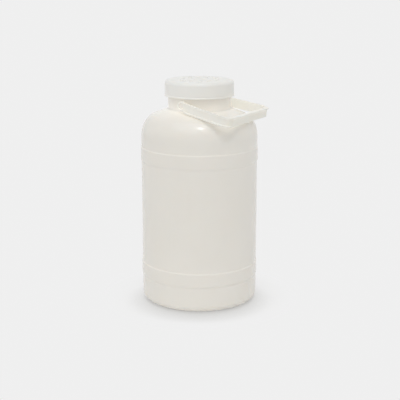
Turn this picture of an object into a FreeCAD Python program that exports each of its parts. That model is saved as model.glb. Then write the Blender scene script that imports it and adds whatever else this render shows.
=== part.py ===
"""Wide-mouth reagent bottle with a screw cap and a carrying handle, as a parametric document.

A blow-moulded bottle stands on its foot ring.  A sealing plug, held under the screw cap, closes
its mouth, and the carrying handle swings on two pins that are moulded on the neck.
Millimetres, +Z up, the origin at the middle of the foot, the handle at rest over +X.
"""
import FreeCAD, Part
import math
import os
import re

import Sketcher

doc = FreeCAD.newDocument("ReagentBottle")

# ------------------------------------------------------------------- sizes that can be chosen
SIZES = {
    # bottle: body, base and the two raised bands
    "body_radius": 82.5,
    "body_wall": 2.2,
    "base_corner_radius": 10,
    "foot_ring_radius": 60,
    "base_push_up": 3.5,
    "lower_band_level": 36.7,
    "upper_band_level": 203.3,
    "band_height": 20.3,
    "band_rise": 0.9,
    # bottle: shoulder, made of two round stretches and a shallow cone
    "shoulder_level": 239.6,
    "shoulder_side_radius": 35.6,
    "shoulder_break_angle": 42,
    "shoulder_top_radius": 22,
    "shoulder_slope": 20.5,
    # bottle: neck and its thread
    "neck_radius": 44.3,
    "neck_wall": 3.2,
    "neck_root_fillet": 3,
    "neck_lip_fillet": 0.8,
    "visible_neck": 17.7,
    "thread_pitch": 6,
    "thread_turns": 1.5,
    "thread_depth": 1.7,
    "thread_root_width": 2.4,
    "thread_crest_width": 1.2,
    "thread_bite": 0.4,
    "thread_above_skirt": 4.2,
    # bottle: the two pins that carry the handle
    "pin_rise": 8.7,
    "pin_radius": 3.2,
    "pin_boss_radius": 5,
    "pin_boss_rise": 0.5,
    "pin_head_radius": 4,
    "pin_head_length": 1.3,
    # screw cap
    "cap_height": 22.4,
    "cap_wall": 2.1,
    "cap_top": 2.4,
    "cap_corner_radius": 5,
    "cap_bead_rise": 0.5,
    "cap_bead_height": 2.2,
    "snap_bead_height": 1.4,
    "snap_bead_depth": 1.3,
    # screw cap: raised marks on its top
    "mark_height": 1.5,
    "mark_radius": 26,
    "mark_width": 4,
    "arrow_angle": 56,
    "arrow_head_angle": 18,
    "arrow_head_width": 9,
    "block_angle": 13,
    "block_spacing": 27,
    "mark_repeats": 2,
    "hub_radius": 9,
    "hub_ring_width": 2,
    # sealing plug
    "plug_flange": 1.6,
    "plug_depth": 9,
    "plug_wall": 1.8,
    "plug_lead_in": 1,
    "plug_ribs": 6,
    "plug_rib_width": 1.6,
    "plug_rib_height": 2,
    "plug_rib_start": 12,
    # carrying handle
    "strap_thickness": 3.2,
    "strap_above_pin": 5.2,
    "strap_below_pin": 8.5,
    "grip_reach": 83.5,
    "grip_half_width": 66,
    "grip_depth": 6,
    "arm_web_thickness": 2.1,
    "grip_web_thickness": 4.4,
    "rim_width": 2,
    "outer_corner_radius": 15.5,
    "inner_corner_radius": 10,
    "eye_radius": 6.2,
    "root_length": 11,
    # clearances between the pieces
    "thread_clearance": 0.4,
    "plug_clearance": 0.3,
    "snap_clearance": 0.3,
    "pin_clearance": 0.08,
    "eye_gap": 0.4,
    "head_clearance": 0.4,
    "cap_swing_gap": 0.5,
    "rest_gap": 0.8,
}

# -------------------------------------------------- radii and levels that follow from the sizes
LEVELS = {
    "mouth_radius": "neck_radius - neck_wall",
    "break_radius": "body_radius - shoulder_side_radius * (1 - cos(shoulder_break_angle))",
    "break_level": "shoulder_level + shoulder_side_radius * sin(shoulder_break_angle)",
    "cone_radius": "break_radius - shoulder_top_radius"
                   " * (cos(shoulder_break_angle) - sin(shoulder_slope))",
    "cone_level": "break_level + shoulder_top_radius"
                  " * (cos(shoulder_slope) - sin(shoulder_break_angle))",
    "neck_root_level": "cone_level + (cone_radius - neck_radius) * tan(shoulder_slope)",
    "inner_root_level": "neck_root_level + neck_wall * tan(shoulder_slope)"
                        " - body_wall / cos(shoulder_slope)",
    "skirt_level": "neck_root_level + visible_neck",
    "ceiling_height": "cap_height - cap_top",
    "neck_top_level": "skirt_level + ceiling_height - plug_flange",
    "thread_level": "skirt_level + thread_above_skirt",
    "cap_bore_radius": "neck_radius + thread_depth + thread_clearance",
    "cap_radius": "cap_bore_radius + cap_wall",
    "snap_level": "ceiling_height - plug_flange - snap_clearance",
    "plug_flange_radius": "cap_bore_radius - thread_clearance",
    "plug_radius": "mouth_radius - plug_clearance",
    "pin_level": "neck_root_level + pin_rise",
    "boss_end": "neck_radius + pin_boss_rise",
    "eye_inner_face": "boss_end + eye_gap",
    "arm_inner_face": "cap_radius + cap_bead_rise + cap_swing_gap",
    "arm_outer_face": "arm_inner_face + strap_thickness",
    "head_start": "arm_outer_face - head_clearance / 2 - pin_head_length",
    "head_seat": "head_start - head_clearance / 2",
    "strap_height": "strap_above_pin + strap_below_pin",
    "arm_splay": "(grip_half_width - arm_outer_face) / grip_reach",
    "grip_inner_face": "grip_reach - grip_depth",
    "grip_web_face": "grip_inner_face + grip_web_thickness",
    # The handle swings down until something meets the shoulder.  The grip's lower inner edge
    # meets its cone or its side arc: both limits lie inside the real one, so the higher is free.
    "edge_distance": "sqrt(grip_inner_face ^ 2 + strap_below_pin ^ 2)",
    "edge_angle": "atan(strap_below_pin / grip_inner_face) / 1 deg",
    "cone_depth": "neck_radius * sin(shoulder_slope) - pin_rise * cos(shoulder_slope) + rest_gap",
    "cone_limit": "shoulder_slope - asin(cone_depth / edge_distance) / 1 deg",
    "side_reach": "body_radius - shoulder_side_radius",
    "side_drop": "pin_level - shoulder_level",
    "side_distance": "sqrt(side_reach ^ 2 + side_drop ^ 2)",
    "side_cosine": "(edge_distance ^ 2 + side_distance ^ 2 - (shoulder_side_radius + rest_gap) ^ 2)"
                    " / (2 * edge_distance * side_distance)",
    "side_limit": "(atan(side_drop / side_reach) - acos(side_cosine)) / 1 deg",
    "edge_limit": "max(cone_limit; side_limit) - edge_angle",
    # The arms' lower edges are straight lines that stay above the cone at every point.
    "arm_depth": "neck_radius * tan(shoulder_slope) - pin_rise"
                 " + strap_below_pin / cos(edge_limit) + rest_gap / cos(shoulder_slope)",
    "arm_room": "max(0; (arm_inner_face * tan(shoulder_slope)) ^ 2 - arm_depth ^ 2)",
    "arm_limit": "atan((arm_splay * arm_depth + sqrt(arm_room)) / arm_inner_face) / 1 deg",
    "rest_angle": "min(edge_limit; arm_limit)",
}


def named(expression):
    """The expression with each plain name written as a cell of the sheet that holds it."""
    def cell(match):
        word = match.group(0)
        if word in SIZES:
            return "Sizes." + word
        return "Levels." + word if word in LEVELS else word
    return re.sub(r"[a-z_]+", cell, expression)


def fill_sheet(name, cells):
    """A spreadsheet with one row for each named cell."""
    sheet = doc.addObject("Spreadsheet::Sheet", name)
    for row, (alias, content) in enumerate(cells.items(), start=1):
        sheet.set(f"A{row}", alias.replace("_", " "))
        sheet.set(f"B{row}", content)
        sheet.setAlias(f"B{row}", alias)
    doc.recompute()
    return sheet


sizes = fill_sheet("Sizes", {alias: str(value) for alias, value in SIZES.items()})
fill_sheet("Levels", {alias: "=" + named(rule) for alias, rule in LEVELS.items()})


# ---------------------------------------------------------------- how a sub-part is drawn
def new_body(label):
    """An empty body whose label is the name of the sub-part."""
    body = doc.addObject("PartDesign::Body", label)
    body.Label = label
    return body


def origin_of(body, role):
    """One of the body's own origin planes or axes, such as XY_Plane or Z_Axis."""
    return next(item for item in body.Origin.OriginFeatures if item.Role == role)


def new_sketch(body, name, plane, **offsets):
    """A sketch on an origin plane of the body, moved by expressions for x, y or z."""
    sketch = body.newObject("Sketcher::SketchObject", name)
    sketch.AttachmentSupport = (origin_of(body, plane), [""])
    sketch.MapMode = "FlatFace"
    for axis, expression in offsets.items():
        sketch.setExpression(f".AttachmentOffset.Base.{axis}", named(expression))
    return sketch


def value_of(expression):
    """What an expression in plain names comes to."""
    return float(sizes.evalExpression(named(expression)))


def fix(sketch, kind, places, expression):
    """Bind one distance or radius of a sketch to an expression."""
    constraint = Sketcher.Constraint(kind, *places, value_of(expression))
    index = sketch.addConstraint(constraint)
    sketch.setExpression(f"Constraints[{index}]", named(expression))


def arc_between(start, end, radius, side):
    """The short arc from start to end: side is 1 where it turns left, -1 where right."""
    half = (end - start) * 0.5
    across = FreeCAD.Vector(-half.y, half.x, 0).normalize()
    centre = start + half + across * side * math.sqrt(radius ** 2 - half.Length ** 2)
    angles = [math.atan2(point.y - centre.y, point.x - centre.x) for point in (start, end)]
    circle = Part.Circle(centre, FreeCAD.Vector(0, 0, 1), radius)
    return Part.ArcOfCircle(circle, *angles[::side])


def draw_outline(sketch, corners):
    """A closed outline.  A corner is (across, up), or (across, up, radius, side) where an arc
    leads from it to the next one."""
    points = [FreeCAD.Vector(value_of(across), value_of(up), 0) for across, up, *_ in corners]
    edges = []
    for index, (_, _, *arc) in enumerate(corners):
        start, end = points[index], points[(index + 1) % len(points)]
        curve = Part.LineSegment(start, end)
        first, last = 1, 2
        if arc:
            curve = arc_between(start, end, value_of(arc[0]), arc[1])
            first, last = (1, 2)[::arc[1]]
        edges.append((sketch.addGeometry(curve), first, last))
    for index, (edge, _, last) in enumerate(edges):
        next_edge, next_first, _ = edges[(index + 1) % len(edges)]
        sketch.addConstraint(Sketcher.Constraint("Coincident", edge, last, next_edge, next_first))
    for (edge, first, _), (across, up, *arc) in zip(edges, corners):
        fix(sketch, "DistanceX", (-1, 1, edge, first), across)
        fix(sketch, "DistanceY", (-1, 1, edge, first), up)
        if arc:
            fix(sketch, "Radius", (edge,), arc[0])
    doc.recompute()


def draw_ring(sketch, radii):
    """Circles about the sketch's origin."""
    for radius in radii:
        circle = Part.Circle(FreeCAD.Vector(), FreeCAD.Vector(0, 0, 1), value_of(radius))
        edge = sketch.addGeometry(circle)
        sketch.addConstraint(Sketcher.Constraint("Coincident", edge, 3, -1, 1))
        fix(sketch, "Radius", (edge,), radius)
    doc.recompute()


def turned(body, kind, name, sketch, axis):
    """A Revolution or a Groove: the sketch turned once round an axis of the body."""
    feature = body.newObject("PartDesign::" + kind, name)
    feature.Profile = sketch
    feature.ReferenceAxis = axis
    feature.Angle = 360
    doc.recompute()
    return feature


def raised(body, kind, name, sketch, length):
    """A Pad or a Pocket of the sketch, as long as an expression says."""
    feature = body.newObject("PartDesign::" + kind, name)
    feature.Profile = sketch
    feature.setExpression("Length", named(length))
    doc.recompute()
    return feature


def rounded(body, name, radius, belongs):
    """A Fillet of those edges of the body's last feature for which belongs(edge) is true."""
    base = body.Tip
    edges = [f"Edge{number}" for number, edge in enumerate(base.Shape.Edges, start=1)
             if belongs(edge)]
    feature = body.newObject("PartDesign::Fillet", name)
    feature.Base = (base, edges)
    feature.setExpression("Radius", named(radius))
    doc.recompute()
    return feature


def is_ring(edge, radius, level):
    """Whether an edge is the circle about Z with that radius at that level."""
    near = 0.001
    curve = edge.Curve
    return (isinstance(curve, Part.Circle) and abs(curve.Radius - value_of(radius)) < near
            and abs(curve.Center.z - value_of(level)) < near)


def is_upright_at(edge, across, along):
    """Whether an edge is parallel to Z and stands at that place, on either side of X."""
    near = 0.001
    if len(edge.Vertexes) != 2:
        return False
    foot, top = (vertex.Point for vertex in edge.Vertexes)
    return (abs(foot.x - value_of(across)) < near and abs(top.x - foot.x) < near
            and abs(abs(foot.y) - value_of(along)) < near and abs(top.y - foot.y) < near)


def repeated(body, name, originals, count):
    """A PolarPattern about Z of some features; a plain name gives the count."""
    pattern = body.newObject("PartDesign::PolarPattern", name)
    pattern.Originals = originals
    pattern.Axis = (origin_of(body, "Z_Axis"), [""])
    pattern.Angle = 360
    pattern.setExpression("Occurrences", named(count))
    body.Tip = pattern
    doc.recompute()
    return pattern


def mirrored(body, name, originals):
    """The features repeated on the other side of the body's XZ plane."""
    mirror = body.newObject("PartDesign::Mirrored", name)
    mirror.Originals = originals
    mirror.MirrorPlane = (origin_of(body, "XZ_Plane"), [""])
    body.Tip = mirror
    doc.recompute()
    return mirror


def threaded(body, name, root, crest, level):
    """One helical thread about Z: root and crest are across-positions of its profile."""
    sketch = new_sketch(body, name + "Profile", "XZ_Plane")
    corners = [
        (root, f"{level} - thread_root_width / 2"),
        (crest, f"{level} - thread_crest_width / 2"),
        (crest, f"{level} + thread_crest_width / 2"),
        (root, f"{level} + thread_root_width / 2"),
    ]
    draw_outline(sketch, corners)
    helix = body.newObject("PartDesign::AdditiveHelix", name)
    helix.Profile = sketch
    helix.ReferenceAxis = (origin_of(body, "Z_Axis"), [""])
    helix.Mode = "pitch-turns-angle"
    helix.setExpression("Pitch", named("thread_pitch"))
    helix.setExpression("Turns", named("thread_turns"))
    doc.recompute()
    return helix


# ---------------------------------------------------------------- bottle: one hollow moulding
bottle = new_body("bottle_body")


def band_corners(level):
    """The four corners of a raised band whose sides lean at 45 degrees."""
    return [
        ("body_radius", level),
        ("body_radius + band_rise", f"{level} + band_rise"),
        ("body_radius + band_rise", f"{level} + band_height - band_rise"),
        ("body_radius", f"{level} + band_height"),
    ]


wall_outline = new_sketch(bottle, "WallOutline", "XZ_Plane")
draw_outline(wall_outline, [
    ("0", "base_push_up"),
    ("foot_ring_radius - base_push_up", "base_push_up"),
    ("foot_ring_radius", "0"),
    ("body_radius - base_corner_radius", "0", "base_corner_radius", 1),
    ("body_radius", "base_corner_radius"),
    *band_corners("lower_band_level"),
    *band_corners("upper_band_level"),
    ("body_radius", "shoulder_level", "shoulder_side_radius", 1),
    ("break_radius", "break_level", "shoulder_top_radius", 1),
    ("cone_radius", "cone_level"),
    ("neck_radius", "neck_root_level"),
    ("neck_radius", "neck_top_level"),
    ("mouth_radius", "neck_top_level"),
    ("mouth_radius", "inner_root_level"),
    ("cone_radius - body_wall * sin(shoulder_slope)",
     "cone_level - body_wall * cos(shoulder_slope)", "shoulder_top_radius - body_wall", -1),
    ("break_radius - body_wall * cos(shoulder_break_angle)",
     "break_level - body_wall * sin(shoulder_break_angle)",
     "shoulder_side_radius - body_wall", -1),
    ("body_radius - body_wall", "shoulder_level"),
    ("body_radius - body_wall", "base_corner_radius", "base_corner_radius - body_wall", -1),
    ("body_radius - base_corner_radius", "body_wall"),
    ("foot_ring_radius + body_wall / 2", "body_wall"),
    ("foot_ring_radius + body_wall / 2 - base_push_up", "base_push_up + body_wall"),
    ("0", "base_push_up + body_wall"),
])
turned(bottle, "Revolution", "Wall", wall_outline, (origin_of(bottle, "Z_Axis"), [""]))
rounded(bottle, "NeckRoot", "neck_root_fillet",
        lambda edge: is_ring(edge, "neck_radius", "neck_root_level"))
rounded(bottle, "NeckLip", "neck_lip_fillet",
        lambda edge: is_ring(edge, "neck_radius", "neck_top_level")
        or is_ring(edge, "mouth_radius", "neck_top_level"))

pin_outline = new_sketch(bottle, "PinOutline", "YZ_Plane", y="pin_level")
draw_outline(pin_outline, [
    ("neck_radius - neck_wall / 2", "0"),
    ("head_start + pin_head_length", "0"),
    ("head_start + pin_head_length", "pin_radius"),
    ("head_start + pin_head_length / 2", "pin_head_radius"),
    ("head_start", "pin_head_radius"),
    ("head_start", "pin_radius"),
    ("boss_end", "pin_radius"),
    ("boss_end", "pin_boss_radius"),
    ("neck_radius - neck_wall / 2", "pin_boss_radius"),
])
pin = turned(bottle, "Revolution", "Pin", pin_outline, (pin_outline, ["H_Axis"]))
mirrored(bottle, "PinPair", [pin])
threaded(bottle, "NeckThread", "neck_radius - thread_bite", "neck_radius + thread_depth",
         "thread_level")

# ------------------------------------------------------- screw cap: a threaded, domed closure
cap = new_body("screw_cap")
cap.setExpression(".Placement.Base.z", named("skirt_level"))
cap_outline = new_sketch(cap, "CapOutline", "XZ_Plane")
draw_outline(cap_outline, [
    ("cap_bore_radius", "0"),
    ("cap_radius + cap_bead_rise", "0"),
    ("cap_radius + cap_bead_rise", "cap_bead_height - cap_bead_rise"),
    ("cap_radius", "cap_bead_height"),
    ("cap_radius", "cap_height - cap_corner_radius", "cap_corner_radius", 1),
    ("cap_radius - cap_corner_radius", "cap_height"),
    ("0", "cap_height"),
    ("0", "ceiling_height"),
    ("cap_bore_radius", "ceiling_height"),
    ("cap_bore_radius", "snap_level"),
    ("cap_bore_radius - snap_bead_depth", "snap_level - snap_bead_height / 2"),
    ("cap_bore_radius", "snap_level - snap_bead_height"),
])
turned(cap, "Revolution", "Shell", cap_outline, (origin_of(cap, "Z_Axis"), [""]))
# The cap's thread starts opposite the neck's, so that it lies half a pitch under it.
threaded(cap, "CapThread", "-(cap_bore_radius + thread_bite)",
         "-(neck_radius + thread_clearance)", "thread_above_skirt")


def ring_place(radius, angle):
    """Across and up of a place on the cap's top, from its radius and its angle."""
    return f"({radius}) * cos({angle})", f"({radius}) * sin({angle})"


def arc_block(first, last):
    """A block of the mark ring between two angles."""
    outer, inner = "mark_radius + mark_width / 2", "mark_radius - mark_width / 2"
    return [
        (*ring_place(outer, first), outer, 1),
        ring_place(outer, last),
        (*ring_place(inner, last), inner, -1),
        ring_place(inner, first),
    ]


arrow = new_sketch(cap, "ArrowOutline", "XY_Plane", z="cap_height")
shaft = arc_block("0", "arrow_angle")
draw_outline(arrow, [
    *shaft[:2],
    ring_place("mark_radius + arrow_head_width / 2", "arrow_angle"),
    ring_place("mark_radius", "arrow_angle + arrow_head_angle"),
    ring_place("mark_radius - arrow_head_width / 2", "arrow_angle"),
    *shaft[2:],
])
arrow_pad = raised(cap, "Pad", "Arrow", arrow, "mark_height")
blocks = new_sketch(cap, "BlockOutlines", "XY_Plane", z="cap_height")
for place in (1, 2, 3):
    middle = f"arrow_angle + arrow_head_angle + {place} * block_spacing - block_angle / 2"
    draw_outline(blocks, arc_block(f"{middle} - block_angle / 2", f"{middle} + block_angle / 2"))
block_pad = raised(cap, "Pad", "Blocks", blocks, "mark_height")
repeated(cap, "MarkRing", [arrow_pad, block_pad], "mark_repeats")
hub = new_sketch(cap, "HubOutline", "XY_Plane", z="cap_height")
draw_ring(hub, ["hub_radius", "hub_radius - hub_ring_width"])
raised(cap, "Pad", "Hub", hub, "mark_height / 2")

# -------------------------------------------- sealing plug: a flanged disc with a short skirt
plug = new_body("sealing_plug")
plug.setExpression(".Placement.Base.z", named("neck_top_level"))
plug_outline = new_sketch(plug, "PlugOutline", "XZ_Plane")
draw_outline(plug_outline, [
    ("0", "0"),
    ("plug_radius - plug_wall", "0"),
    ("plug_radius - plug_wall", "-plug_depth"),
    ("plug_radius - plug_lead_in", "-plug_depth"),
    ("plug_radius", "plug_lead_in - plug_depth"),
    ("plug_radius", "0"),
    ("plug_flange_radius", "0"),
    ("plug_flange_radius", "plug_flange"),
    ("0", "plug_flange"),
])
turned(plug, "Revolution", "Disc", plug_outline, (origin_of(plug, "Z_Axis"), [""]))
rib_outline = new_sketch(plug, "RibOutline", "XY_Plane")
draw_outline(rib_outline, [
    ("plug_rib_start", "-plug_rib_width / 2"),
    ("plug_radius - plug_wall / 2", "-plug_rib_width / 2"),
    ("plug_radius - plug_wall / 2", "plug_rib_width / 2"),
    ("plug_rib_start", "plug_rib_width / 2"),
])
rib = raised(plug, "Pad", "Rib", rib_outline, "plug_rib_height")
rib.Reversed = True
doc.recompute()
repeated(plug, "Ribs", [rib], "plug_ribs")

# ------------------------------------- carrying handle: a channelled strap bent round to a grip
handle = new_body("carry_handle")
# The axis of the tilt comes first, because only its angle is bound to the sheet.
handle.Placement.Rotation = FreeCAD.Rotation(FreeCAD.Vector(0, 1, 0), value_of("rest_angle"))
handle.setExpression(".Placement.Base.z", named("pin_level"))
handle.setExpression(".Placement.Rotation.Angle", named("rest_angle"))


def along_arm(face, across):
    """How far out a face of the arm stands at a distance across from the pins."""
    return f"{face} + arm_splay * ({across})"


strap_outline = new_sketch(handle, "StrapOutline", "XY_Plane", z="-strap_below_pin")
draw_outline(strap_outline, [
    ("0", "-arm_outer_face"),
    ("grip_reach", "-grip_half_width"),
    ("grip_reach", "grip_half_width"),
    ("0", "arm_outer_face"),
    ("0", "arm_inner_face"),
    ("grip_inner_face", along_arm("arm_inner_face", "grip_inner_face")),
    ("grip_inner_face", "-(" + along_arm("arm_inner_face", "grip_inner_face") + ")"),
    ("0", "-arm_inner_face"),
])
raised(handle, "Pad", "Strap", strap_outline, "strap_height")

# The channel is open outwards, with a rim above and below its web.
channel_start = "eye_radius + rim_width"
web_face = "arm_inner_face + arm_web_thickness"
beyond = "grip_half_width + grip_depth"
channel_outline = new_sketch(handle, "ChannelOutline", "XY_Plane",
                             z="rim_width - strap_below_pin")
draw_outline(channel_outline, [
    (channel_start, "-(" + along_arm(web_face, channel_start) + ")"),
    (channel_start, f"-({beyond})"),
    ("grip_reach + grip_depth", f"-({beyond})"),
    ("grip_reach + grip_depth", beyond),
    (channel_start, beyond),
    (channel_start, along_arm(web_face, channel_start)),
    ("grip_web_face", along_arm(web_face, "grip_web_face")),
    ("grip_web_face", "-(" + along_arm(web_face, "grip_web_face") + ")"),
])
channel = raised(handle, "Pocket", "Channel", channel_outline, "strap_height - 2 * rim_width")
channel.Reversed = True
doc.recompute()
rounded(handle, "InnerCorners", "inner_corner_radius",
        lambda edge: is_upright_at(edge, "grip_inner_face",
                                   along_arm("arm_inner_face", "grip_inner_face")))
rounded(handle, "WebCorners",
        "inner_corner_radius + (arm_web_thickness + grip_web_thickness) / 2",
        lambda edge: is_upright_at(edge, "grip_web_face", along_arm(web_face, "grip_web_face")))
rounded(handle, "OuterCorners", "outer_corner_radius",
        lambda edge: is_upright_at(edge, "grip_reach", "grip_half_width"))

# Under the eyes the arm's lower edge runs up to the eye, so that it clears the shoulder.
root_outline = new_sketch(handle, "RootOutline", "XZ_Plane", z="-grip_half_width")
draw_outline(root_outline, [
    ("-eye_radius", "-eye_radius"),
    ("-eye_radius", "-strap_below_pin - rim_width"),
    ("root_length", "-strap_below_pin - rim_width"),
    ("root_length", "-strap_below_pin"),
    ("0", "-eye_radius"),
])
root_cut = raised(handle, "Pocket", "Roots", root_outline, "2 * grip_half_width")
root_cut.Reversed = True
doc.recompute()

eye_outline = new_sketch(handle, "EyeOutline", "XY_Plane")
draw_outline(eye_outline, [
    ("0", "eye_inner_face"),
    ("eye_radius", "eye_inner_face"),
    ("eye_radius", "arm_outer_face"),
    ("0", "arm_outer_face"),
])
eye = turned(handle, "Revolution", "Eye", eye_outline, (origin_of(handle, "Y_Axis"), [""]))
bore_outline = new_sketch(handle, "BoreOutline", "XY_Plane")
draw_outline(bore_outline, [
    ("0", "eye_inner_face - eye_gap"),
    ("pin_radius + pin_clearance", "eye_inner_face - eye_gap"),
    ("pin_radius + pin_clearance", "head_seat"),
    ("pin_head_radius + head_clearance", "head_seat"),
    ("pin_head_radius + head_clearance", "arm_outer_face + eye_gap"),
    ("0", "arm_outer_face + eye_gap"),
])
bore = turned(handle, "Groove", "Bore", bore_outline, (origin_of(handle, "Y_Axis"), [""]))
mirrored(handle, "EyePair", [eye, bore])

# ------------------------------------------------------------------- check, then write the files
SUB_PARTS = [bottle, cap, plug, handle]
doc.recompute()
for item in doc.Objects:
    if {"Invalid", "Error"} & set(item.State):
        raise RuntimeError(f"{item.Label} has failed: {item.State}")
for sub_part in SUB_PARTS:
    shape = sub_part.Shape
    if shape.isNull() or not shape.isValid() or len(shape.Solids) != 1:
        raise RuntimeError(f"{sub_part.Label} is not one valid solid")

os.makedirs("parts", exist_ok=True)
for sub_part in SUB_PARTS:
    sub_part.Shape.exportStep(f"parts/{sub_part.Label}.step")
    box = sub_part.Shape.BoundBox
    print(f"{sub_part.Label:14} {sub_part.Shape.Volume / 1000:8.1f} cm3 "
          f"x {box.XMin:.1f} {box.XMax:.1f} y {box.YMin:.1f} {box.YMax:.1f} "
          f"z {box.ZMin:.1f} {box.ZMax:.1f}")
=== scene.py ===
"""Wide-mouth storage bottle with its screw cap, sealing plug and carrying handle, dressed for
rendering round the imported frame.  Metres, +Z up, the handle at rest over +X."""
import bmesh
import bpy
import math
from mathutils import Matrix, Vector, noise


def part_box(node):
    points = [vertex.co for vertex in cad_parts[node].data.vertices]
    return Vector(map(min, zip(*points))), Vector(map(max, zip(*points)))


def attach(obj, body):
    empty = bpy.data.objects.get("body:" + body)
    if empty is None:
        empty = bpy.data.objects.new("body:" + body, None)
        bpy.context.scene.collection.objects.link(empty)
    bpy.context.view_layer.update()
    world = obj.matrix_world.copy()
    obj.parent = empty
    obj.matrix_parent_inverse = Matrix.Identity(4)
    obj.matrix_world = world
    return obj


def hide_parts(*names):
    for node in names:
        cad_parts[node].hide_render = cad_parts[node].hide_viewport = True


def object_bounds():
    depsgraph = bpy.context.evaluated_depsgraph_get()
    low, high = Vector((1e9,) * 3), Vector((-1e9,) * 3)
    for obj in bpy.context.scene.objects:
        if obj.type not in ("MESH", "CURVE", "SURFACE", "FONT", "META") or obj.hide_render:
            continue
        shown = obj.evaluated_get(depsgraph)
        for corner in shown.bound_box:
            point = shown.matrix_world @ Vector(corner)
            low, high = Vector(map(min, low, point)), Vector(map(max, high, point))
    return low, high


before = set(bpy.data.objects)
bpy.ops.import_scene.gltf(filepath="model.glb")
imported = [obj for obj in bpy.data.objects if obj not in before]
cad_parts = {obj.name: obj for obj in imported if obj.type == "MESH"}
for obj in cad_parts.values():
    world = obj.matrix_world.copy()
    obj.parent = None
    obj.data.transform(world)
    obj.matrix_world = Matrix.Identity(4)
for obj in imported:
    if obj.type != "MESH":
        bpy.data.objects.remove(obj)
cad_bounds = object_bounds()

# ------------------------------------------------------------------------------- bottle
# Blow-moulded natural polyethylene in one piece: body with two raised bands, round shoulder,
# neck with its thread, and the two headed pins that the handle turns on.  The mould's parting
# line runs up both sides through the pins, and the walls are a little uneven, as blown walls are.
bottle_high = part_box("bottle_body")[1]
cap_low, cap_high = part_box("screw_cap")

MM = 0.001
BAND_RISE = 0.9 * MM
BAND_HEIGHT = 20.3 * MM
BAND_LEVELS = (36.7 * MM, 203.3 * MM)
BAND_RAMP = 3 * MM
BAND_FILLET = 5 * MM
STEP_RISE, STEP_FILLET = 0.3 * MM, 0.2 * MM
WIDEST_RADIUS = min(bottle_high[0], bottle_high[1])
BODY_RADIUS = bottle_high[0] - BAND_RISE
WALL = 2.2 * MM
FOOT_RADIUS = 60 * MM
BASE_CORNER = 10 * MM
PUSH_UP = 3.5 * MM
SHOULDER_LEVEL = 239.6 * MM
SIDE_ARC = 35.6 * MM
TOP_ARC = 22 * MM
BREAK_ANGLE = math.radians(42)
SLOPE = math.radians(20.5)
NECK_RADIUS = 44.3 * MM
MOUTH_RADIUS = 41.1 * MM
NECK_TOP = bottle_high[2]
NECK_ROOT = cap_low[2] - 17.7 * MM
NECK_FILLET = 3 * MM
LIP_FILLET = 0.8 * MM
THREAD_PITCH = 6 * MM
THREAD_TURNS = 1.5
THREAD_DEPTH = 1.7 * MM
THREAD_HALF_WIDTH, THREAD_FLANK = 1.25 * MM, 0.65 * MM
LEAD_IN_TURNS = 0.06
THREAD_START = cap_low[2] + 4.2 * MM
THREAD_MARGIN = 2 * MM
# The mesh goes at most this far in one step: round an arc, along a straight run, up a thread.
ARC_STEP, LONG_STEP, THREAD_STEP = 2.5 * MM, 6 * MM, 0.3 * MM
SAME_PLACE = 0.01 * MM
SHARP_EDGE = math.radians(38)


def filleted(corners, steps=10):
    """A profile of (radius, height) points from corners of (radius, height, fillet), with that
    many steps to a right angle."""
    points = []
    count = len(corners)
    for index, (across, up, fillet) in enumerate(corners):
        here = Vector((across, up))
        if fillet <= 0 or index in (0, count - 1):
            points.append(here)
            continue
        before = (Vector(corners[index - 1][:2]) - here).normalized()
        after = (Vector(corners[index + 1][:2]) - here).normalized()
        half = before.angle(after) / 2
        if math.pi / 2 - half < 0.01:
            points.append(here)
            continue
        middle = (before + after).normalized()
        centre = here + middle * (fillet / math.sin(half))
        first = here + before * (fillet / math.tan(half)) - centre
        last = here + after * (fillet / math.tan(half)) - centre
        turn = math.atan2(first.x * last.y - first.y * last.x, first.dot(last))
        by_turn = math.ceil(steps * abs(turn) / (math.pi / 2))
        by_length = int(abs(turn) * fillet / ARC_STEP)
        number = max(2, by_turn, by_length)
        for step in range(number + 1):
            angle = turn * step / number
            place = centre + Vector((first.x * math.cos(angle) - first.y * math.sin(angle),
                                     first.x * math.sin(angle) + first.y * math.cos(angle)))
            if (place - points[-1]).length > SAME_PLACE:
                points.append(place)
    return points


def divided(points, longest):
    """The profile with its long straight runs cut into short ones."""
    cut = [points[0]]
    for start, end in zip(points, points[1:]):
        number = max(1, math.ceil((end - start).length / longest))
        cut.extend(start.lerp(end, step / number) for step in range(1, number + 1))
    return cut


def turned_mesh(name, profile, angles, shape=None, ring=False):
    """A closed turned mesh: shape(radius, height, angle) gives each point's own radius, and a
    ring joins the end of its profile to the start."""
    mesh = bpy.data.meshes.new(name)
    work = bmesh.new()
    rings = []
    for radius, height in profile:
        if radius < SAME_PLACE:
            rings.append([work.verts.new((0, 0, height))])
            continue
        around = []
        for angle in angles:
            away = shape(radius, height, angle) if shape else radius
            around.append(work.verts.new((away * math.cos(angle), away * math.sin(angle), height)))
        rings.append(around)
    count = len(angles)
    for lower, upper in zip(rings, rings[1:] + (rings[:1] if ring else [])):
        for index in range(count):
            beside = (index + 1) % count
            corners = [lower[index % len(lower)], lower[beside % len(lower)],
                       upper[beside % len(upper)], upper[index % len(upper)]]
            work.faces.new(list(dict.fromkeys(corners)))
    bmesh.ops.recalc_face_normals(work, faces=work.faces)
    work.to_mesh(mesh)
    work.free()
    piece = bpy.data.objects.new(name, mesh)
    bpy.context.scene.collection.objects.link(piece)
    return piece


def even_angles(count):
    """That many even steps once round."""
    return [2 * math.pi * step / count for step in range(count)]


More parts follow.
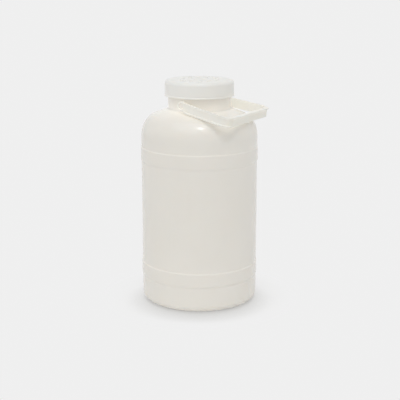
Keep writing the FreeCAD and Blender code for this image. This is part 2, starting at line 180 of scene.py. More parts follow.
def thread_height(height, angle, begin_angle):
    """How high, from 0 to 1, a right-hand thread that begins at begin_angle stands there."""
    tallest = 0
    turned = (angle - begin_angle) % (2 * math.pi)
    for turn in range(math.ceil(THREAD_TURNS)):
        travelled = turned / (2 * math.pi) + turn
        if travelled > THREAD_TURNS:
            continue
        off = abs(height - THREAD_START - travelled * THREAD_PITCH)
        flank = min(1, max(0, (THREAD_HALF_WIDTH - off) / THREAD_FLANK))
        lead = min(1, travelled / LEAD_IN_TURNS, (THREAD_TURNS - travelled) / LEAD_IN_TURNS)
        tallest = max(tallest, flank * flank * (3 - 2 * flank) * max(0, lead))
    return tallest


def apply_modifiers(piece):
    """The piece's mesh as its modifiers leave it, with none left on the piece."""
    bpy.context.view_layer.update()
    graph = bpy.context.evaluated_depsgraph_get()
    made = bpy.data.meshes.new_from_object(piece.evaluated_get(graph))
    piece.modifiers.clear()
    piece.data = made
    made.name = piece.name


def join_by_boolean(piece, tool, kind):
    """The tool added to or taken from the piece, and the tool deleted."""
    cut = piece.modifiers.new("join", "BOOLEAN")
    cut.operation = kind
    cut.solver = "EXACT"
    cut.object = tool
    apply_modifiers(piece)
    bpy.data.objects.remove(tool)


def smooth_but_sharp(piece):
    """Smooth shading in which flat faces look flat and edges over the sharp angle stay sharp."""
    piece.data.polygons.foreach_set("use_smooth", [True] * len(piece.data.polygons))
    piece.data.set_sharp_from_angle(angle=SHARP_EDGE)
    piece.modifiers.new("even", "WEIGHTED_NORMAL").keep_sharp = True
    apply_modifiers(piece)


# The shoulder's side arc ends at this break, where its flatter top arc begins.
BREAK_RADIUS = BODY_RADIUS - SIDE_ARC * (1 - math.cos(BREAK_ANGLE))
BREAK_LEVEL = SHOULDER_LEVEL + SIDE_ARC * math.sin(BREAK_ANGLE)


def shoulder_corners(inset):
    """The two corners that the shoulder's side arc and top arc round off."""
    radius = BODY_RADIUS - inset
    side = SIDE_ARC - inset
    top = TOP_ARC - inset
    first = (radius, SHOULDER_LEVEL + side * math.tan(BREAK_ANGLE / 2), side)
    half = (math.pi / 2 - SLOPE - BREAK_ANGLE) / 2
    break_point = Vector((BREAK_RADIUS - inset * math.cos(BREAK_ANGLE),
                          BREAK_LEVEL - inset * math.sin(BREAK_ANGLE)))
    along = Vector((-math.sin(BREAK_ANGLE), math.cos(BREAK_ANGLE)))
    second = break_point + along * top * math.tan(half)
    return [first, (second.x, second.y, top)]


def band(level):
    """The corners of one raised band: it comes in and goes out by gentle ramps, and the upper
    one has a small step half way."""
    proud = BODY_RADIUS + BAND_RISE
    foot = level + (BAND_RISE - BAND_RAMP) / 2
    head = level + BAND_HEIGHT - (BAND_RISE - BAND_RAMP) / 2
    middle = BODY_RADIUS + BAND_RISE / 2
    middle_level = head - BAND_RAMP / 2
    return [
        (BODY_RADIUS, foot, BAND_FILLET),
        (proud, foot + BAND_RAMP, BAND_FILLET),
        (proud, head - BAND_RAMP, BAND_FILLET),
        (middle + STEP_RISE / 2, middle_level - STEP_RISE / 2, STEP_FILLET),
        (middle - STEP_RISE / 2, middle_level + STEP_RISE / 2, STEP_FILLET),
        (BODY_RADIUS, head, BAND_FILLET),
    ]


INNER_ROOT = NECK_ROOT + (NECK_RADIUS - MOUTH_RADIUS) * math.tan(SLOPE) - WALL / math.cos(SLOPE)
# The outside and the inside of the wall in one closed section, from the middle of the base.
wall_outline = filleted([
    (0, PUSH_UP, 0),
    (FOOT_RADIUS - PUSH_UP, PUSH_UP, 2 * MM),
    (FOOT_RADIUS, 0, 1.5 * MM),
    (BODY_RADIUS, 0, BASE_CORNER),
    *band(BAND_LEVELS[0]),
    *band(BAND_LEVELS[1]),
    *shoulder_corners(0),
    (NECK_RADIUS, NECK_ROOT, NECK_FILLET),
    (NECK_RADIUS, NECK_TOP, LIP_FILLET),
    (MOUTH_RADIUS, NECK_TOP, LIP_FILLET),
    (MOUTH_RADIUS, INNER_ROOT, 2 * MM),
    *reversed(shoulder_corners(WALL)),
    (BODY_RADIUS - WALL, WALL, BASE_CORNER - WALL),
    (FOOT_RADIUS + WALL / 2, WALL, 1 * MM),
    (FOOT_RADIUS + WALL / 2 - PUSH_UP, PUSH_UP + WALL, 1 * MM),
    (0, PUSH_UP + WALL, 0),
])
thread_foot = THREAD_START - THREAD_MARGIN
thread_head = THREAD_START + THREAD_TURNS * THREAD_PITCH + THREAD_MARGIN
# The run up the neck's outside is cut finely where the thread stands on it.
bottle_profile = []
for start, end in zip(wall_outline, wall_outline[1:]):
    if start.y < thread_foot and end.y > thread_head:
        below, above = Vector((NECK_RADIUS, thread_foot)), Vector((NECK_RADIUS, thread_head))
        bottle_profile.extend(divided([start, below], LONG_STEP)[:-1])
        bottle_profile.extend(divided([below, above], THREAD_STEP)[:-1])
        start = above
    bottle_profile.extend(divided([start, end], LONG_STEP)[:-1])
bottle_profile.append(wall_outline[-1])

# Even steps round the bottle, with closer ones across each parting line.
SEAM_HALF_WIDTH = 0.45 * MM
SEAM_RISE = 0.07 * MM
SEAM_CLEAR = 2.2 * MM
SEAMS = (math.pi / 2, 3 * math.pi / 2)
seam_steps = [side * off * MM / BODY_RADIUS for side in (-1, 1) for off in (0.25, 0.5, 0.9, 1.6)]
bottle_angles = [angle for angle in even_angles(252)
                 if all(abs(angle - seam) > SEAM_CLEAR / BODY_RADIUS for seam in SEAMS)]
bottle_angles += [seam + step for seam in SEAMS for step in [0] + seam_steps]
bottle_angles.sort()
# The walls come in from the drawn radius in wide waves and closer ones, never out from it.
WIDE_WAVES, CLOSE_WAVES = 14, 31
WAVE_CREST, WAVE_DEPTH = 1.1, 0.11 * MM


def bottle_shape(radius, height, angle):
    """The bottle's own radius there: uneven walls, parting line and thread."""
    place = Vector((radius * math.cos(angle), radius * math.sin(angle), height))
    waves = noise.noise(place * WIDE_WAVES) + 0.5 * noise.noise(place * CLOSE_WAVES)
    uneven = (waves - WAVE_CREST) * WAVE_DEPTH
    if radius < FOOT_RADIUS or height > NECK_ROOT:
        uneven = 0
    outer_wall = radius > BODY_RADIUS - WALL / 2 or height > SHOULDER_LEVEL
    seam = 0
    if outer_wall and radius > NECK_RADIUS - WALL / 2 and 2 * MM < height < NECK_ROOT:
        off = min(abs(angle - line) for line in SEAMS) * radius
        seam = SEAM_RISE * max(0, 1 - (off / SEAM_HALF_WIDTH) ** 2)
    thread = 0
    if abs(radius - NECK_RADIUS) < SAME_PLACE and thread_foot < height < thread_head:
        thread = THREAD_DEPTH * thread_height(height, angle, 0)
    return min(radius + uneven + seam, WIDEST_RADIUS) + thread


bottle = turned_mesh("bottle", bottle_profile, bottle_angles, bottle_shape)
PIN_LEVEL = NECK_ROOT + 8.7 * MM
PIN_FOOT = NECK_RADIUS - 1.6 * MM
BOSS_RADIUS = 5 * MM
BOSS_END = NECK_RADIUS + 0.5 * MM
PIN_RADIUS = 3.2 * MM
HEAD_RADIUS = 4.2 * MM
HEAD_START = 51.2 * MM
HEAD_END = 52.5 * MM
for side in (-1, 1):
    pin = turned_mesh("pin", filleted([
        (0, PIN_FOOT, 0),
        (BOSS_RADIUS, PIN_FOOT, 0),
        (BOSS_RADIUS, BOSS_END, 0.3 * MM),
        (PIN_RADIUS, BOSS_END, 0),
        (PIN_RADIUS, HEAD_START, 0),
        (HEAD_RADIUS, HEAD_START, 0.15 * MM),
        (HEAD_RADIUS, HEAD_END, 0.9 * MM),
        (0, HEAD_END, 0),
    ], 4), even_angles(50))
    pin.data.transform(Matrix.Translation((0, 0, PIN_LEVEL))
                       @ Matrix.Rotation(-side * math.pi / 2, 4, "X"))
    join_by_boolean(bottle, pin, "UNION")
smooth_but_sharp(bottle)
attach(bottle, "bottle")
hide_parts("bottle_body")


HOLLOW_REACH = 60 * MM


def moulded_skin_and_glow():
    """Node group: clouding of the plastic, fine moulded grain, the dulling of handling, and two
    masks for a painted glow in hollows, standing in for light come through the milky plastic: one
    from the hollows of the piece itself, the other from those and the places beside its neighbours."""
    group = bpy.data.node_groups.new("moulded_skin_and_glow", "ShaderNodeTree")
    for name, default in (("Cloud Scale", 12), ("Grain Scale", 900), ("Rub Scale", 60)):
        socket = group.interface.new_socket(name, in_out="INPUT", socket_type="NodeSocketFloat")
        socket.default_value = default
    for name in ("Cloud", "Grain", "Rub", "Painted Glow Own", "Painted Glow Near"):
        group.interface.new_socket(name, in_out="OUTPUT", socket_type="NodeSocketFloat")
    nodes, links = group.nodes, group.links
    entry = nodes.new("NodeGroupInput")
    result = nodes.new("NodeGroupOutput")
    place = nodes.new("ShaderNodeTexCoord")
    for name, detail, low, high in (("Cloud", 3, 0.3, 0.7), ("Grain", 2, 0.3, 0.7),
                                    ("Rub", 4, 0, 1)):
        texture = nodes.new("ShaderNodeTexNoise")
        texture.inputs["Detail"].default_value = detail
        links.new(place.outputs["Object"], texture.inputs["Vector"])
        links.new(entry.outputs[name + " Scale"], texture.inputs["Scale"])
        spread = nodes.new("ShaderNodeMapRange")
        spread.inputs["From Min"].default_value = low
        spread.inputs["From Max"].default_value = high
        links.new(texture.outputs["Fac"], spread.inputs["Value"])
        links.new(spread.outputs["Result"], result.inputs[name])
    # Painted glow masks: the more a place is hemmed in, by the piece itself or by its neighbours
    # too, the more painted light it gets.
    for name, itself_only in (("Painted Glow Own", True), ("Painted Glow Near", False)):
        open_sky = nodes.new("ShaderNodeAmbientOcclusion")
        open_sky.only_local = itself_only
        open_sky.inputs["Distance"].default_value = HOLLOW_REACH
        covered = nodes.new("ShaderNodeMapRange")
        covered.inputs["To Min"].default_value = 1
        covered.inputs["To Max"].default_value = 0
        links.new(open_sky.outputs["AO"], covered.inputs["Value"])
        links.new(covered.outputs["Result"], result.inputs[name])
    return group


skin_and_glow_group = moulded_skin_and_glow()
GRAIN_DEPTH = 0.1 * MM


def plastic(name, colours, roughness, milkiness, light_depth, painted_glow_strength, cloud_scale,
            grain_scale, rub_scale, grain, painted_glow_mask="Painted Glow Own"):
    """A moulded plastic.  Its two colours and two roughnesses blend over the surface.  Milkiness
    is how much light goes in and light_depth how deep it spreads.  It also gives off its own colour
    as a painted glow, of the strength given, in the hollows that the chosen mask picks out."""
    material = bpy.data.materials.new(name)
    material.use_nodes = True
    nodes, links = material.node_tree.nodes, material.node_tree.links
    shader = nodes["Principled BSDF"]
    shader.inputs["IOR"].default_value = 1.53
    shader.inputs["Subsurface Weight"].default_value = milkiness
    shader.inputs["Subsurface Radius"].default_value = (1, 0.9, 0.8)
    shader.inputs["Subsurface Scale"].default_value = light_depth
    surface = nodes.new("ShaderNodeGroup")
    surface.node_tree = skin_and_glow_group
    surface.inputs["Cloud Scale"].default_value = cloud_scale
    surface.inputs["Grain Scale"].default_value = grain_scale
    surface.inputs["Rub Scale"].default_value = rub_scale
    tint = nodes.new("ShaderNodeMix")
    tint.data_type = "RGBA"
    tint.inputs["A"].default_value = (*colours[0], 1)
    tint.inputs["B"].default_value = (*colours[1], 1)
    links.new(surface.outputs["Cloud"], tint.inputs["Factor"])
    links.new(tint.outputs["Result"], shader.inputs["Base Color"])
    # Painted glow: the plastic's own colour given off as light where the mask finds hollows.
    shader.inputs["Emission Strength"].default_value = painted_glow_strength
    painted_glow_colour = nodes.new("ShaderNodeMix")
    painted_glow_colour.data_type = "RGBA"
    painted_glow_colour.inputs["A"].default_value = (0, 0, 0, 1)
    links.new(surface.outputs[painted_glow_mask], painted_glow_colour.inputs["Factor"])
    links.new(tint.outputs["Result"], painted_glow_colour.inputs["B"])
    links.new(painted_glow_colour.outputs["Result"], shader.inputs["Emission Color"])
    rough = nodes.new("ShaderNodeMapRange")
    rough.inputs["To Min"].default_value = roughness[0]
    rough.inputs["To Max"].default_value = roughness[1]
    links.new(surface.outputs["Rub"], rough.inputs["Value"])
    links.new(rough.outputs["Result"], shader.inputs["Roughness"])
    bump = nodes.new("ShaderNodeBump")
    bump.inputs["Strength"].default_value = grain
    bump.inputs["Distance"].default_value = GRAIN_DEPTH
    links.new(surface.outputs["Grain"], bump.inputs["Height"])
    links.new(bump.outputs["Normal"], shader.inputs["Normal"])
    return material


def dress(piece, material):
    """The piece in that one material."""
    piece.data.materials.clear()
    piece.data.materials.append(material)


# The bottle's own hollows, round the foot of the neck and the pins, get a strong painted glow.
dress(bottle, plastic("blown_polyethylene",
                      colours=((0.86, 0.83, 0.768), (0.875, 0.847, 0.791)), roughness=(0.18, 0.22),
                      milkiness=0.4, light_depth=2.5 * MM, painted_glow_strength=0.63,
                      cloud_scale=11, grain_scale=700, rub_scale=45, grain=0.08))

# ------------------------------------------------------------------------- sealing plug
# Soft polyethylene disc with a flange that seals on the lip of the neck and a short skirt
# inside the mouth.  It clips under the cap's snap bead and comes off with the cap.
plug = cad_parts["sealing_plug"]
# A faint painted glow lights the plug's hollows.
plug_milk = plastic("milky_soft_polyethylene",
                    colours=((0.87, 0.87, 0.84), (0.89, 0.89, 0.865)), roughness=(0.36, 0.42),
                    milkiness=0.5, light_depth=2.5 * MM, painted_glow_strength=0.2,
                    cloud_scale=30, grain_scale=1100, rub_scale=90, grain=0.08)
for slot in plug.material_slots:
    slot.material = plug_milk

# ---------------------------------------------------------------------------- screw cap
# Injection-moulded polypropylene: a smooth skirt with a rolled lower bead, a rounded top edge,
# and plain raised arrows and blocks round a ring on the top that show which way it turns.
CAP_BEAD, BEAD_HEIGHT = 0.5 * MM, 1.7 * MM
CAP_RADIUS = cap_high[0] - CAP_BEAD
CAP_BORE = 46.4 * MM
CAP_CREST = 44.7 * MM
ROOM_FOR_MARKS, TOP_THICK = 1.5 * MM, 2.4 * MM
CAP_TOP = cap_high[2] - ROOM_FOR_MARKS
CAP_CEILING = CAP_TOP - TOP_THICK
SNAP_BEAD, SNAP_HALF_WIDTH = 1.3 * MM, 0.7 * MM
SNAP_LEVEL = CAP_CEILING - 1.9 * MM
CAP_STEP = 4 * MM
MARK_RADIUS = 26 * MM
MARK_HALF_WIDTH = 2 * MM
MARK_HEIGHT, MARK_SINK, MARK_EDGE = 1.1 * MM, 0.5 * MM, 0.95 * MM
ARROW_ANGLE, ARROW_HEAD, ARROW_HALF = math.radians(56), math.radians(18), 4.5 * MM
BLOCK_ANGLE, BLOCK_SPACING = math.radians(13), math.radians(27)


def cap_shape(radius, height, angle):
    """The cap's own radius there: its inner thread starts opposite the neck's."""
    if abs(radius - CAP_BORE) > SAME_PLACE or not thread_foot < height < thread_head:
        return radius
    return radius - (CAP_BORE - CAP_CREST) * thread_height(height, angle, math.pi)


def close_slivers(piece):
    """The slivers that joins leave along a piece's edges, closed up."""
    work = bmesh.new()
    work.from_mesh(piece.data)
    bmesh.ops.remove_doubles(work, verts=work.verts, dist=0.02 * MM)
    work.to_mesh(piece.data)
    work.free()


cap_outline = filleted([
    (0, CAP_TOP, 0),
    (CAP_RADIUS, CAP_TOP, 5 * MM),
    (CAP_RADIUS, cap_low[2] + BEAD_HEIGHT + CAP_BEAD, 0.4 * MM),
    (CAP_RADIUS + CAP_BEAD, cap_low[2] + BEAD_HEIGHT, 0.3 * MM),
    (CAP_RADIUS + CAP_BEAD, cap_low[2], 0.5 * MM),
    (CAP_BORE, cap_low[2], 0.4 * MM),
    (CAP_BORE, SNAP_LEVEL - 2 * SNAP_HALF_WIDTH, 0),
    (CAP_BORE - SNAP_BEAD, SNAP_LEVEL - SNAP_HALF_WIDTH, 0.2 * MM),
    (CAP_BORE, SNAP_LEVEL, 0),
    (CAP_BORE, CAP_CEILING, 0.3 * MM),
    (0, CAP_CEILING, 0),
])
cap_profile = []
for start, end in zip(cap_outline, cap_outline[1:]):
    in_bore = max(abs(start.x - CAP_BORE), abs(end.x - CAP_BORE)) < SAME_PLACE
    cap_profile.extend(divided([start, end], THREAD_STEP if in_bore else CAP_STEP)[:-1])
cap_profile.append(cap_outline[-1])
cap = turned_mesh("cap", cap_profile, even_angles(240), cap_shape)


def raised_mark(outline):
    """A mark of that outline with a rounded top edge, standing a little way into the cap."""
    mesh = bpy.data.meshes.new("mark")
    work = bmesh.new()
    base = [work.verts.new((*point, CAP_TOP - MARK_SINK)) for point in outline]
    face = work.faces.new(base)
    grown = bmesh.ops.extrude_face_region(work, geom=[face])
    top = [item for item in grown["geom"] if isinstance(item, bmesh.types.BMVert)]
    bmesh.ops.translate(work, verts=top, vec=(0, 0, MARK_HEIGHT + MARK_SINK))
    lifted = set(top)
    rim = [edge for edge in work.edges if lifted.issuperset(edge.verts)]
    bmesh.ops.bevel(work, geom=rim, offset=MARK_EDGE, segments=4, profile=0.5,
                    affect="EDGES", clamp_overlap=True)
    bmesh.ops.recalc_face_normals(work, faces=work.faces)
    work.to_mesh(mesh)
    work.free()
    mark = bpy.data.objects.new("mark", mesh)
    bpy.context.scene.collection.objects.link(mark)
    return mark


def polar(radius, angle):
    """The place at that radius and angle on the cap's top."""
    return radius * math.cos(angle), radius * math.sin(angle)


def arc(radius, first, last):
    """Places along an arc about the cap's middle, a little over three degrees apart."""
    steps = max(4, int(abs(last - first) / math.radians(3)))
    return [polar(radius, first + (last - first) * step / steps) for step in range(steps + 1)]


OUTER, INNER = MARK_RADIUS + MARK_HALF_WIDTH, MARK_RADIUS - MARK_HALF_WIDTH
for half_turn in (0, math.pi):
    neck_of_head = half_turn + ARROW_ANGLE
    outlines = [arc(OUTER, half_turn, neck_of_head)
                + [polar(MARK_RADIUS + ARROW_HALF, neck_of_head),
                   polar(MARK_RADIUS, neck_of_head + ARROW_HEAD),
                   polar(MARK_RADIUS - ARROW_HALF, neck_of_head)]
                + arc(INNER, neck_of_head, half_turn)]
    for number in (1, 2, 3):
        middle = neck_of_head + ARROW_HEAD + number * BLOCK_SPACING - BLOCK_ANGLE / 2
        first, last = middle - BLOCK_ANGLE / 2, middle + BLOCK_ANGLE / 2
        outlines.append(arc(OUTER, first, last) + arc(INNER, last, first))
    for outline in outlines:
        join_by_boolean(cap, raised_mark(outline), "UNION")
HUB_OUTER, HUB_INNER, HUB_EDGE = 9 * MM, 7 * MM, 0.7 * MM
HUB_FOOT, HUB_TOP = CAP_TOP - MARK_SINK, CAP_TOP + MARK_HEIGHT / 2
hub = turned_mesh("hub", filleted([
    (HUB_INNER, HUB_FOOT, 0),
    (HUB_OUTER, HUB_FOOT, 0),
    (HUB_OUTER, HUB_TOP, HUB_EDGE),
    (HUB_INNER, HUB_TOP, HUB_EDGE),
    (HUB_INNER, HUB_FOOT, 0),
], 3)[:-1], even_angles(96), ring=True)
join_by_boolean(cap, hub, "UNION")
close_slivers(cap)
smooth_but_sharp(cap)
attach(cap, "cap")
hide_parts("screw_cap")
# A faint painted glow lights the cap's hollows.
dress(cap, plastic("white_polypropylene",
                   colours=((0.898, 0.886, 0.843), (0.908, 0.898, 0.858)), roughness=(0.27, 0.31),
                   milkiness=0.4, light_depth=2.5 * MM, painted_glow_strength=0.1,
                   cloud_scale=25, grain_scale=900, rub_scale=70, grain=0.1))

# ----------------------------------------------------------------------- carrying handle
# Injection-moulded in one piece: a strap on edge with a channel in its outer face and a rim
# above and below, bent round from one eye to the other.  The eyes snap over the bottle's pins.
STRAP_UP, STRAP_DOWN = 5.2 * MM, 8.5 * MM
RIM = 2 * MM
ARM_THICK, GRIP_THICK = 3.2 * MM, 6 * MM
ARM_WEB, GRIP_WEB = 2.1 * MM, 4.4 * MM
GRIP_REACH = 83.5 * MM
GRIP_HALF = 66 * MM
ARM_FACE = 52.7 * MM
EYE_RADIUS = 6.2 * MM
EYE_FACE = 45.2 * MM
INNER_BEND = 10 * MM
SPLAY = math.atan((GRIP_HALF - ARM_FACE) / GRIP_REACH)
CHANNEL_START, CHANNEL_RUN_IN = 7.5 * MM, 1.6 * MM
ROOT_LENGTH = 11 * MM
SUNK_RIM = 0.2 * MM
ARM_SOFT, GRIP_SOFT, GRIP_ROUND = 0.45 * MM, 0.85 * MM, 2.4 * MM
ARM_STEPS, BEND_STEPS, GRIP_STEPS = 30, 24, 12
# A softened edge takes at most one of this many parts of each side that it lies between.
SIDE_PARTS, EDGE_FULLNESS = 2.2, 0.42
# How far it leans down at rest follows from how far its packed box reaches out.
handle_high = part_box("carry_handle")[1]
REST_LEAN = (math.atan2(STRAP_UP, GRIP_REACH)
             + math.acos(handle_high[0] / math.hypot(GRIP_REACH, STRAP_UP)))


def strap_stations():
    """Places along the strap's inner face from one eye to the other, each as a point, the way
    outward, and how far the strap has gone over from an arm to the grip."""
    inner_x = GRIP_REACH - GRIP_THICK
    arm_y = ARM_FACE - ARM_THICK
    corner = Vector((inner_x, arm_y + inner_x * math.tan(SPLAY)))
    arm_way = Vector((math.cos(SPLAY), math.sin(SPLAY)))
    arm_out = Vector((-math.sin(SPLAY), math.cos(SPLAY)))
    bend = math.pi / 2 + SPLAY
    tangent = INNER_BEND * math.tan(bend / 2)
    start = Vector((0, arm_y))
    bend_start = corner - arm_way * tangent
    stations = []
    for step in range(ARM_STEPS + 1):
        point = start.lerp(bend_start, step / ARM_STEPS)
        stations.append((point, arm_out, 0))
    centre = bend_start - arm_out * INNER_BEND
    for step in range(1, BEND_STEPS + 1):
        share = step / BEND_STEPS
        angle = math.pi / 2 + SPLAY - bend * share
        outward = Vector((math.cos(angle), math.sin(angle)))
        stations.append((centre + outward * INNER_BEND, outward, share * share * (3 - 2 * share)))
    grip_start = stations[-1][0]
    for step in range(1, GRIP_STEPS + 1):
        point = Vector((grip_start.x, grip_start.y * (1 - step / GRIP_STEPS)))
        stations.append((point, Vector((1, 0)), 1))
    other = [(Vector((point.x, -point.y)), Vector((outward.x, -outward.y)), share)
             for point, outward, share in stations[-2::-1]]
    return stations + other


def strap_section(along, share):
    """Corners of the strap's section that far along X, as (outward, up), with softened edges.
    Round the bend to the grip its lower rim sinks into a rounder lower edge."""
    thick = ARM_THICK + (GRIP_THICK - ARM_THICK) * share
    open_share = min(1, max(0, (along - CHANNEL_START) / CHANNEL_RUN_IN))
    web = thick - (thick - ARM_WEB - (GRIP_WEB - ARM_WEB) * share) * open_share
    low_rim = thick - (thick - web - SUNK_RIM) * max(0, 2 * share - 1)
    root = min(1, max(0, along / ROOT_LENGTH))
    bottom = -(EYE_RADIUS + (STRAP_DOWN - EYE_RADIUS) * root)
    inner = ARM_SOFT + (GRIP_SOFT - ARM_SOFT) * share
    outer = ARM_SOFT + (GRIP_ROUND - ARM_SOFT) * share
    corners = [(0, bottom, inner), (low_rim, bottom, outer), (low_rim, bottom + RIM, ARM_SOFT),
               (web, bottom + RIM, ARM_SOFT), (web, STRAP_UP - RIM, ARM_SOFT),
               (thick, STRAP_UP - RIM, ARM_SOFT), (thick, STRAP_UP, inner), (0, STRAP_UP, inner)]
    section = []
    for index, (out, up, soft) in enumerate(corners):
        here = Vector((out, up))
        for near in (corners[index - 1], corners[(index + 1) % len(corners)]):
            way = Vector(near[:2]) - here
            reach = min(soft, way.length / SIDE_PARTS)
            section.append(here + (way.normalized() * reach if way.length > 0 else way))
        blended = (section[-2] + section[-1]) / 2
        section.insert(-1, blended.lerp(here, EDGE_FULLNESS))
    return section


def strap_mesh():
    """The strap as one closed tube of quads, capped at both eyes."""
    work = bmesh.new()
    rings = []
    for point, outward, share in strap_stations():
        ring = []
        for out, up in strap_section(point.x, share):
            place = point + outward * out
            ring.append(work.verts.new((place.x, place.y, up)))
        rings.append(ring)
    count = len(rings[0])
    for lower, upper in zip(rings, rings[1:]):
        for index in range(count):
            beside = (index + 1) % count
            work.faces.new((lower[index], lower[beside], upper[beside], upper[index]))
    work.faces.new(rings[0])
    work.faces.new(list(reversed(rings[-1])))
    bmesh.ops.recalc_face_normals(work, faces=work.faces)
    mesh = bpy.data.meshes.new("handle")
    work.to_mesh(mesh)
    work.free()
    piece = bpy.data.objects.new("handle", mesh)
    bpy.context.scene.collection.objects.link(piece)
    return piece


handle = strap_mesh()
BORE_PLAY = 0.08 * MM
BORE_RADIUS = PIN_RADIUS + BORE_PLAY
SEAT_RADIUS = 4.4 * MM
SEAT_LEVEL = 51 * MM
CUT_OVER = 1 * MM
for side in (-1, 1):
    upright = Matrix.Rotation(-side * math.pi / 2, 4, "X")
    eye = turned_mesh("eye", filleted([
        (0, EYE_FACE, 0),
        (EYE_RADIUS, EYE_FACE, 0.4 * MM),
        (EYE_RADIUS, ARM_FACE, 2.4 * MM),
        (0, ARM_FACE, 0),
    ], 5), even_angles(72))
    eye.data.transform(upright)
    join_by_boolean(handle, eye, "UNION")
    bore = turned_mesh("bore", filleted([
        (0, EYE_FACE - CUT_OVER, 0),
        (BORE_RADIUS, EYE_FACE - CUT_OVER, 0),
        (BORE_RADIUS, SEAT_LEVEL, 0),
        (SEAT_RADIUS, SEAT_LEVEL, 0),
        (SEAT_RADIUS, ARM_FACE + CUT_OVER, 0),
        (0, ARM_FACE + CUT_OVER, 0),
    ], 3), even_angles(72))
    bore.data.transform(upright)
    join_by_boolean(handle, bore, "DIFFERENCE")
close_slivers(handle)
handle.data.transform(Matrix.Translation((0, 0, PIN_LEVEL))
                      @ Matrix.Rotation(REST_LEAN, 4, "Y"))
smooth_but_sharp(handle)
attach(handle, "handle")
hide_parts("carry_handle")
# The handle gets a painted glow wherever it is hemmed in, by itself or by the bottle and cap beside
# it.
dress(handle, plastic("white_handle_polyethylene",
                      colours=((0.905, 0.88, 0.805), (0.915, 0.893, 0.822)), roughness=(0.27, 0.31),
                      milkiness=0.6, light_depth=6 * MM, painted_glow_strength=0.16,
                      cloud_scale=28, grain_scale=1000, rub_scale=80, grain=0.1,
                      painted_glow_mask="Painted Glow Near"))

# ------------------------------------------------------------------------- floor and light
# A plain pale sweep of floor that fades into an even pale ground round the bottle, inside an
# evenly lit tent, with one large soft lamp overhead and a smaller one in front.
VIEW_AZIMUTH, VIEW_ELEVATION = 29, 13.62
FLOOR_HALF = 40
# The first colour is the even pale ground; the second is the painted shade round the bottle.
GROUND, PAINTED_SHADE_GROUND = (0.866, 0.866, 0.866, 1), (0.57, 0.565, 0.55, 1)
floor_mesh = bpy.data.meshes.new("floor")
floor_mesh.from_pydata([(-FLOOR_HALF, -FLOOR_HALF, 0), (FLOOR_HALF, -FLOOR_HALF, 0),
                        (FLOOR_HALF, FLOOR_HALF, 0), (-FLOOR_HALF, FLOOR_HALF, 0)],
                       [], [(0, 1, 2, 3)])
floor = bpy.data.objects.new("floor", floor_mesh)
bpy.context.scene.collection.objects.link(floor)


def seen_directly(tree):
    """1 for rays from the camera, off gloss and through clear things, 0 for the others."""
    rays = tree.nodes.new("ShaderNodeLightPath")
    total = rays.outputs["Is Camera Ray"]
    for kind in ("Is Glossy Ray", "Is Transmission Ray"):
        larger = tree.nodes.new("ShaderNodeMath")
        larger.operation = "MAXIMUM"
        tree.links.new(total, larger.inputs[0])
        tree.links.new(rays.outputs[kind], larger.inputs[1])
        total = larger.outputs[0]
    return total


floor_paint = bpy.data.materials.new("pale_floor")
floor_paint.use_nodes = True
floor_tree = floor_paint.node_tree
floor_shader = floor_tree.nodes["Principled BSDF"]
floor_shader.inputs["Base Color"].default_value = (0.95, 0.95, 0.95, 1)
floor_shader.inputs["Roughness"].default_value = 1
floor_shader.inputs["Specular IOR Level"].default_value = 0
# Seen directly it is mostly the even ground with a painted soft shade round the bottle, from an
# ambient occlusion mask leaning as if under a light overhead and a little behind the bottle,
# and for a part, near the bottle, the floor as the lamps light it.
SHADE_REACH, SHADE_LEAN = 60 * MM, 0.6
FULLY_SHADED, FULLY_LIT = 0.3, 0.8
# The lean of the painted shade, away from the side the camera looks from, though the lamps stand in
# front.
overhead = floor_tree.nodes.new("ShaderNodeNormal")
overhead.outputs["Normal"].default_value = Vector((
    -SHADE_LEAN * math.sin(math.radians(VIEW_AZIMUTH)),
    SHADE_LEAN * math.cos(math.radians(VIEW_AZIMUTH)), 1)).normalized()
painted_shade_occlusion = floor_tree.nodes.new("ShaderNodeAmbientOcclusion")
painted_shade_occlusion.inputs["Distance"].default_value = SHADE_REACH
painted_shade_amount = floor_tree.nodes.new("ShaderNodeMapRange")
painted_shade_amount.inputs["From Min"].default_value = FULLY_SHADED
painted_shade_amount.inputs["From Max"].default_value = FULLY_LIT
painted_shade_ground = floor_tree.nodes.new("ShaderNodeMix")
painted_shade_ground.data_type = "RGBA"
painted_shade_ground.inputs["A"].default_value = PAINTED_SHADE_GROUND
painted_shade_ground.inputs["B"].default_value = GROUND
LIT_REACH, EVEN_REACH, EVEN_PART_NEAR = 90 * MM, 140 * MM, 0.8
place = floor_tree.nodes.new("ShaderNodeNewGeometry")
from_axis = floor_tree.nodes.new("ShaderNodeVectorMath")
from_axis.operation = "LENGTH"
fade = floor_tree.nodes.new("ShaderNodeMapRange")
fade.interpolation_type = "SMOOTHSTEP"
fade.inputs["From Min"].default_value = LIT_REACH
fade.inputs["From Max"].default_value = EVEN_REACH
fade.inputs["To Min"].default_value = EVEN_PART_NEAR
even_part = floor_tree.nodes.new("ShaderNodeMath")
even_part.operation = "MULTIPLY"
glow = floor_tree.nodes.new("ShaderNodeEmission")
ground = floor_tree.nodes.new("ShaderNodeMixShader")
floor_tree.links.new(overhead.outputs["Normal"], painted_shade_occlusion.inputs["Normal"])
floor_tree.links.new(painted_shade_occlusion.outputs["AO"], painted_shade_amount.inputs["Value"])
floor_tree.links.new(painted_shade_amount.outputs["Result"], painted_shade_ground.inputs["Factor"])
floor_tree.links.new(painted_shade_ground.outputs["Result"], glow.inputs["Color"])
floor_tree.links.new(place.outputs["Position"], from_axis.inputs[0])
floor_tree.links.new(from_axis.outputs["Value"], fade.inputs["Value"])
floor_tree.links.new(seen_directly(floor_tree), even_part.inputs[0])
floor_tree.links.new(fade.outputs["Result"], even_part.inputs[1])
floor_tree.links.new(even_part.outputs[0], ground.inputs["Fac"])
floor_tree.links.new(floor_shader.outputs[0], ground.inputs[1])
floor_tree.links.new(glow.outputs[0], ground.inputs[2])
floor_tree.links.new(ground.outputs[0], floor_tree.nodes["Material Output"].inputs[0])
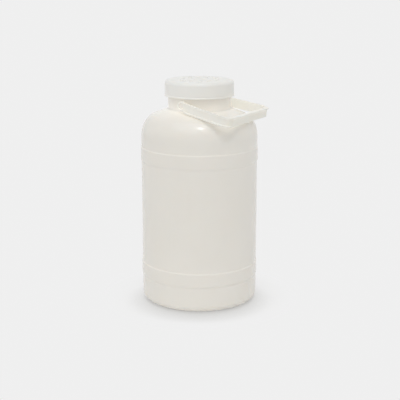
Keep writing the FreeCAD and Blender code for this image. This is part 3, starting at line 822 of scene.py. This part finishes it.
floor_mesh.materials.append(floor_paint)

world = bpy.data.worlds.new("light_tent")
bpy.context.scene.world = world
world.use_nodes = True
world_tree = world.node_tree
tent = world_tree.nodes["Background"]
tent.inputs["Color"].default_value = (1, 1, 1, 1)
tent.inputs["Strength"].default_value = 0.55
backdrop = world_tree.nodes.new("ShaderNodeBackground")
backdrop.inputs["Color"].default_value = GROUND
either = world_tree.nodes.new("ShaderNodeMixShader")
world_tree.links.new(seen_directly(world_tree), either.inputs["Fac"])
world_tree.links.new(tent.outputs[0], either.inputs[1])
world_tree.links.new(backdrop.outputs[0], either.inputs[2])
world_tree.links.new(either.outputs[0], world_tree.nodes["World Output"].inputs[0])


def soft_lamp(name, azimuth, elevation, strength, spread):
    """A lamp far away in that direction; spread is how wide it looks, in degrees."""
    data = bpy.data.lights.new(name, "SUN")
    data.energy = strength
    data.angle = math.radians(spread)
    lamp = bpy.data.objects.new(name, data)
    lamp.rotation_euler = (math.radians(90 - elevation), 0, math.radians(azimuth))
    bpy.context.scene.collection.objects.link(lamp)


soft_lamp("overhead_lamp", azimuth=VIEW_AZIMUTH - 25, elevation=66, strength=0.80, spread=60)
soft_lamp("front_lamp", azimuth=VIEW_AZIMUTH + 5, elevation=60, strength=0.28, spread=7)

# ------------------------------------------------------------------------------- camera
# A long lens that looks a little down on the bottle from the handle's near side, aimed just
# under the middle of its height.
DISTANCE, LENS = 1.389, 86.46
AIM_ASIDE, AIM_SHARE = 1.7 * MM, 0.448
AIM = Vector((0, AIM_ASIDE, AIM_SHARE * cad_bounds[1][2]))
camera_data = bpy.data.cameras.new("camera")
camera_data.lens = LENS
camera = bpy.data.objects.new("camera", camera_data)
bpy.context.scene.collection.objects.link(camera)
camera.rotation_euler = (math.radians(90 - VIEW_ELEVATION), 0, math.radians(VIEW_AZIMUTH))
back = camera.rotation_euler.to_matrix() @ Vector((0, 0, 1))
camera.location = AIM + back * DISTANCE
bpy.context.scene.camera = camera
bpy.context.scene.view_settings.view_transform = "Standard"
